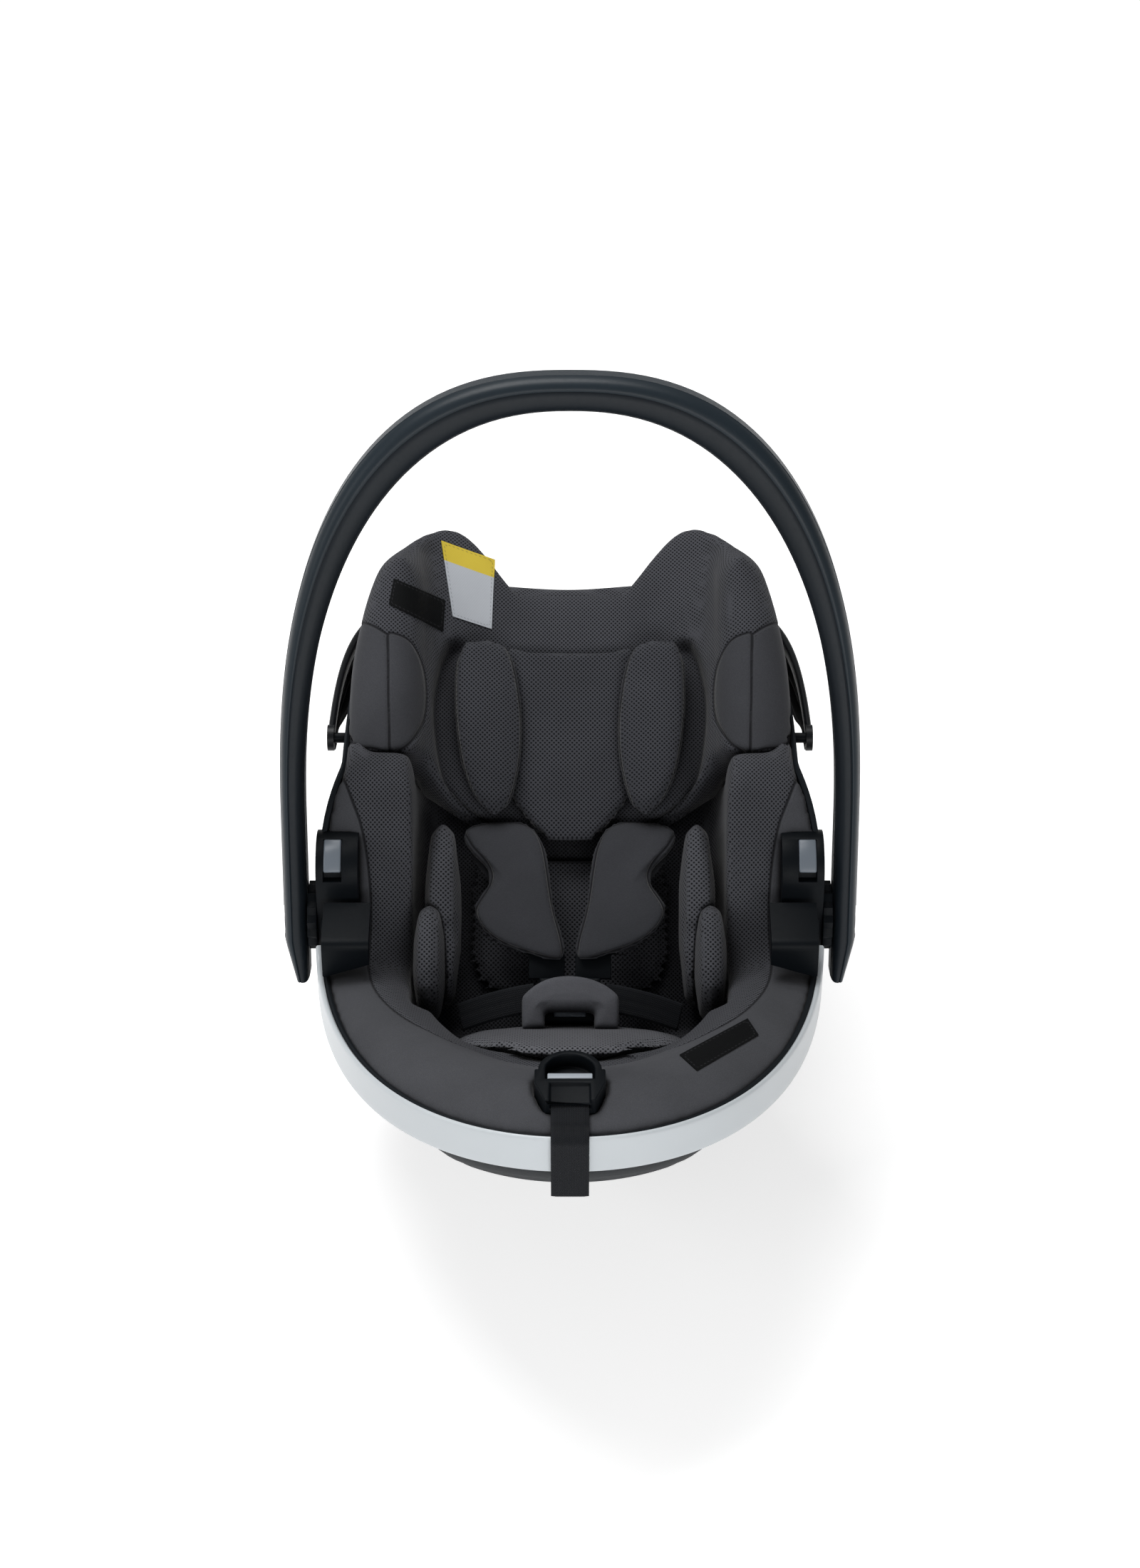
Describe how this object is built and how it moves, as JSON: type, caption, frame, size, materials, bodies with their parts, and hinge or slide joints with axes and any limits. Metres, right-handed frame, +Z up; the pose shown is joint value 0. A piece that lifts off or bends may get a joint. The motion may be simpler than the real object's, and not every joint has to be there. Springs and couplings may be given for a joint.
{
  "type": "child car seat",
  "caption": "Rearward-facing infant carrier with arched carrying handle, padded harness, sliding winged headrest, side bolsters and folded canopy.",
  "frame": {"origin": "on the floor, under the middle of the carrier's outer box", "axes": "+X to the right as seen from the foot end, +Y towards the head end, +Z up"},
  "size_m": [0.432, 0.6442, 0.6093],
  "materials": {
    "shell": "fine grain",
    "band": "smooth",
    "foam": "beaded",
    "cover": "woven mesh",
    "mesh": "knitted mesh",
    "pad": "smooth weave",
    "webbing": "ribbed webbing",
    "handle": "satin",
    "trim": "satin",
    "inset": "satin",
    "steel": "zinc plated"
  },
  "bodies": {
    "seat": {"lower_shell": "shell", "skid_left": "shell", "skid_right": "shell", "foam_liner": "foam", "seat_cover": "cover", "canopy_fabric": "cover", "rim_band": "band", "hub_housing_left": "trim", "hub_housing_right": "trim", "lock_ring_left": "trim", "lock_ring_right": "trim", "belt_guide_left": "trim", "belt_guide_right": "trim", "adjuster_housing": "trim", "buckle_body": "trim", "buckle_tongue_left": "trim", "buckle_tongue_right": "trim", "pivot_axle_left": "steel", "pivot_axle_right": "steel", "canopy_pin_left": "steel", "canopy_pin_right": "steel", "insert_back_pad": "mesh", "lower_bolster_left": "mesh", "lower_bolster_right": "mesh", "upper_bolster_left": "mesh", "upper_bolster_right": "mesh", "insert_seat_cushion": "mesh", "buckle_cover_pad": "pad", "adjuster_strap": "webbing", "shoulder_strap_left": "webbing", "shoulder_strap_right": "webbing", "lap_strap_left": "webbing", "lap_strap_right": "webbing", "crotch_strap": "webbing"},
    "handle": {"handle_inner_shell": "handle", "handle_outer_shell": "handle", "lock_spring_left": "steel", "lock_spring_right": "steel"},
    "lock_button_left": {"handle_lock_button_left": "trim"},
    "lock_button_right": {"handle_lock_button_right": "trim"},
    "adapter_lever_left": {"adapter_release_left": "inset"},
    "adapter_lever_right": {"adapter_release_right": "inset"},
    "headrest": {"headrest_cover": "cover", "headrest_board": "shell", "head_hugger_pad": "mesh", "head_hugger_wing_left": "mesh", "head_hugger_wing_right": "mesh", "shoulder_pad_left": "pad", "shoulder_pad_right": "pad", "shoulder_pad_backing_left": "pad", "shoulder_pad_backing_right": "pad"},
    "headrest_lever": {"headrest_release_lever": "trim"},
    "canopy": {"canopy_bow": "trim"},
    "buckle_button": {"buckle_release_button": "inset"},
    "adjuster_button": {"adjuster_trigger": "inset"}
  },
  "joints": [
    {"name": "handle_swing", "type": "hinge", "parent": "seat", "child": "handle", "pos_m": [0, -0.014, 0.205], "axis": [1, 0, 0], "range_deg": [0, 95]},
    {"name": "lock_button_left_press", "type": "slide", "parent": "handle", "child": "lock_button_left", "axis": [1, 0, 0], "range_m": [0, 0.005], "stiffness_N_per_m": 400, "springref_m": -0.003, "deforming": ["lock_spring_left"]},
    {"name": "lock_button_right_press", "type": "slide", "parent": "handle", "child": "lock_button_right", "axis": [-1, 0, 0], "range_m": [0, 0.005], "stiffness_N_per_m": 400, "springref_m": -0.003, "deforming": ["lock_spring_right"]},
    {"name": "adapter_lever_left_turn", "type": "hinge", "parent": "seat", "child": "adapter_lever_left", "pos_m": [-0.1775, -0.003, 0.243], "axis": [1, 0, 0], "range_deg": [0, 14], "stiffness_Nm_per_rad": 0.3, "springref_deg": -11.46},
    {"name": "adapter_lever_right_turn", "type": "hinge", "parent": "seat", "child": "adapter_lever_right", "pos_m": [0.1775, -0.003, 0.243], "axis": [1, 0, 0], "range_deg": [0, 14], "stiffness_Nm_per_rad": 0.3, "springref_deg": -11.46},
    {"name": "headrest_slide", "type": "slide", "parent": "seat", "child": "headrest", "axis": [0, 0.809, 0.5878], "range_m": [0, 0.06], "deforming": ["shoulder_strap_left", "shoulder_strap_right"]},
    {"name": "headrest_lever_pull", "type": "slide", "parent": "headrest", "child": "headrest_lever", "axis": [0, 0.809, 0.5878], "range_m": [0, 0.008], "stiffness_N_per_m": 300, "springref_m": -0.004},
    {"name": "canopy_fold", "type": "hinge", "parent": "seat", "child": "canopy", "pos_m": [0, 0.093, 0.292], "axis": [1, 0, 0], "range_deg": [0, 100], "deforming": ["canopy_fabric"]},
    {"name": "buckle_button_press", "type": "slide", "parent": "seat", "child": "buckle_button", "axis": [0, 0.5878, -0.809], "range_m": [0, 0.004], "stiffness_N_per_m": 800, "springref_m": -0.003},
    {"name": "adjuster_button_press", "type": "slide", "parent": "seat", "child": "adjuster_button", "axis": [0, -0.1208, -0.9927], "range_m": [0, 0.004], "stiffness_N_per_m": 600, "springref_m": -0.003}
  ]
}
